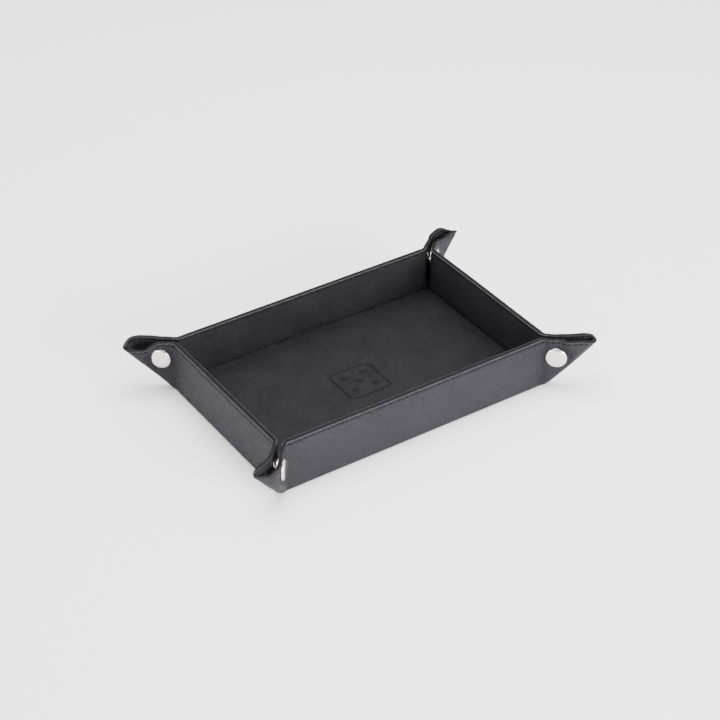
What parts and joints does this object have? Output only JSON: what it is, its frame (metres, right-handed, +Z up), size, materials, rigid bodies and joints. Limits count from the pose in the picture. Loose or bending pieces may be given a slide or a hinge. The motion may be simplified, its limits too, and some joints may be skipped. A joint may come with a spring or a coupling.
{
  "type": "folding dice tray",
  "caption": "Rectangular snap-up leather tray with stiffened base and walls; its pinched corner ears unsnap so that it folds out flat.",
  "frame": {"origin": "on the table under the middle of the base", "axes": "+X along the long front and back walls towards the right-hand wall, +Y from the front wall to the back wall, +Z up"},
  "size_m": [0.2622, 0.1872, 0.0385],
  "materials": {
    "outer_leather": "fine-grained black leather, satin",
    "lining_leather": "fine-grained black leather, matt",
    "fibreboard": "raw grey fibreboard",
    "snap_metal": "polished nickel plate",
    "thread": "waxed black polyester thread"
  },
  "bodies": {
    "base": {"base_outer": "outer_leather", "base_board": "fibreboard", "base_lining": "lining_leather", "front_fold": "outer_leather", "right_fold": "outer_leather", "back_fold": "outer_leather", "left_fold": "outer_leather"},
    "front_wall": {"front_wall_outer": "outer_leather", "front_wall_board": "fibreboard", "front_wall_lining": "lining_leather", "front_wall_left_fold": "outer_leather", "front_wall_right_fold": "outer_leather"},
    "right_wall": {"right_wall_outer": "outer_leather", "right_wall_board": "fibreboard", "right_wall_lining": "lining_leather", "right_wall_front_fold": "outer_leather", "right_wall_back_fold": "outer_leather"},
    "back_wall": {"back_wall_outer": "outer_leather", "back_wall_board": "fibreboard", "back_wall_lining": "lining_leather", "back_wall_right_fold": "outer_leather", "back_wall_left_fold": "outer_leather"},
    "left_wall": {"left_wall_outer": "outer_leather", "left_wall_board": "fibreboard", "left_wall_lining": "lining_leather", "left_wall_back_fold": "outer_leather", "left_wall_front_fold": "outer_leather"},
    "front_wall_left_flap": {"front_wall_left_flap_outer": "outer_leather", "front_wall_left_flap_lining": "lining_leather", "front_left_snap_cap": "snap_metal", "front_left_snap_socket": "snap_metal"},
    "front_wall_right_flap": {"front_wall_right_flap_outer": "outer_leather", "front_wall_right_flap_lining": "lining_leather", "front_right_snap_cap": "snap_metal", "front_right_snap_socket": "snap_metal"},
    "right_wall_front_flap": {"right_wall_front_flap_outer": "outer_leather", "right_wall_front_flap_lining": "lining_leather", "front_right_snap_stud": "snap_metal", "front_right_snap_post": "snap_metal"},
    "right_wall_back_flap": {"right_wall_back_flap_outer": "outer_leather", "right_wall_back_flap_lining": "lining_leather", "back_right_snap_cap": "snap_metal", "back_right_snap_socket": "snap_metal"},
    "back_wall_right_flap": {"back_wall_right_flap_outer": "outer_leather", "back_wall_right_flap_lining": "lining_leather", "back_right_snap_stud": "snap_metal", "back_right_snap_post": "snap_metal"},
    "back_wall_left_flap": {"back_wall_left_flap_outer": "outer_leather", "back_wall_left_flap_lining": "lining_leather", "back_left_snap_stud": "snap_metal", "back_left_snap_post": "snap_metal"},
    "left_wall_back_flap": {"left_wall_back_flap_outer": "outer_leather", "left_wall_back_flap_lining": "lining_leather", "back_left_snap_cap": "snap_metal", "back_left_snap_socket": "snap_metal"},
    "left_wall_front_flap": {"left_wall_front_flap_outer": "outer_leather", "left_wall_front_flap_lining": "lining_leather", "front_left_snap_stud": "snap_metal", "front_left_snap_post": "snap_metal"}
  },
  "joints": [
    {"name": "front_wall_fold", "type": "hinge", "parent": "base", "child": "front_wall", "pos_m": [0, -0.0682, 0.0018], "axis": [1, 0, 0], "range_deg": [0, 90]},
    {"name": "right_wall_fold", "type": "hinge", "parent": "base", "child": "right_wall", "pos_m": [0.1057, 0, 0.0018], "axis": [0, 1, 0], "range_deg": [0, 90]},
    {"name": "back_wall_fold", "type": "hinge", "parent": "base", "child": "back_wall", "pos_m": [0, 0.0682, 0.0018], "axis": [-1, 0, 0], "range_deg": [0, 90]},
    {"name": "left_wall_fold", "type": "hinge", "parent": "base", "child": "left_wall", "pos_m": [-0.1057, 0, 0.0018], "axis": [0, -1, 0], "range_deg": [0, 90]},
    {"name": "front_wall_left_flap_turn", "type": "hinge", "parent": "front_wall", "child": "front_wall_left_flap", "pos_m": [-0.10139, -0.0682, 0.0018], "axis": [0, 0, -1], "range_deg": [0, 45]},
    {"name": "front_wall_right_flap_turn", "type": "hinge", "parent": "front_wall", "child": "front_wall_right_flap", "pos_m": [0.10139, -0.0682, 0.0018], "axis": [0, 0, 1], "range_deg": [0, 45]},
    {"name": "right_wall_front_flap_turn", "type": "hinge", "parent": "right_wall", "child": "right_wall_front_flap", "pos_m": [0.1057, -0.06389, 0.0018], "axis": [0, 0, -1], "range_deg": [0, 45]},
    {"name": "right_wall_back_flap_turn", "type": "hinge", "parent": "right_wall", "child": "right_wall_back_flap", "pos_m": [0.1057, 0.06389, 0.0018], "axis": [0, 0, 1], "range_deg": [0, 45]},
    {"name": "back_wall_right_flap_turn", "type": "hinge", "parent": "back_wall", "child": "back_wall_right_flap", "pos_m": [0.10139, 0.0682, 0.0018], "axis": [0, 0, -1], "range_deg": [0, 45]},
    {"name": "back_wall_left_flap_turn", "type": "hinge", "parent": "back_wall", "child": "back_wall_left_flap", "pos_m": [-0.10139, 0.0682, 0.0018], "axis": [0, 0, 1], "range_deg": [0, 45]},
    {"name": "left_wall_back_flap_turn", "type": "hinge", "parent": "left_wall", "child": "left_wall_back_flap", "pos_m": [-0.1057, 0.06389, 0.0018], "axis": [0, 0, -1], "range_deg": [0, 45]},
    {"name": "left_wall_front_flap_turn", "type": "hinge", "parent": "left_wall", "child": "left_wall_front_flap", "pos_m": [-0.1057, -0.06389, 0.0018], "axis": [0, 0, 1], "range_deg": [0, 45]}
  ],
  "couplings": [
    {"joint": "right_wall_fold", "follows": "front_wall_fold", "ratio": 1},
    {"joint": "back_wall_fold", "follows": "front_wall_fold", "ratio": 1},
    {"joint": "left_wall_fold", "follows": "front_wall_fold", "ratio": 1},
    {"joint": "front_wall_left_flap_turn", "follows": "front_wall_fold", "ratio": 0.5},
    {"joint": "front_wall_right_flap_turn", "follows": "front_wall_fold", "ratio": 0.5},
    {"joint": "right_wall_front_flap_turn", "follows": "front_wall_fold", "ratio": 0.5},
    {"joint": "right_wall_back_flap_turn", "follows": "front_wall_fold", "ratio": 0.5},
    {"joint": "back_wall_right_flap_turn", "follows": "front_wall_fold", "ratio": 0.5},
    {"joint": "back_wall_left_flap_turn", "follows": "front_wall_fold", "ratio": 0.5},
    {"joint": "left_wall_back_flap_turn", "follows": "front_wall_fold", "ratio": 0.5},
    {"joint": "left_wall_front_flap_turn", "follows": "front_wall_fold", "ratio": 0.5}
  ]
}
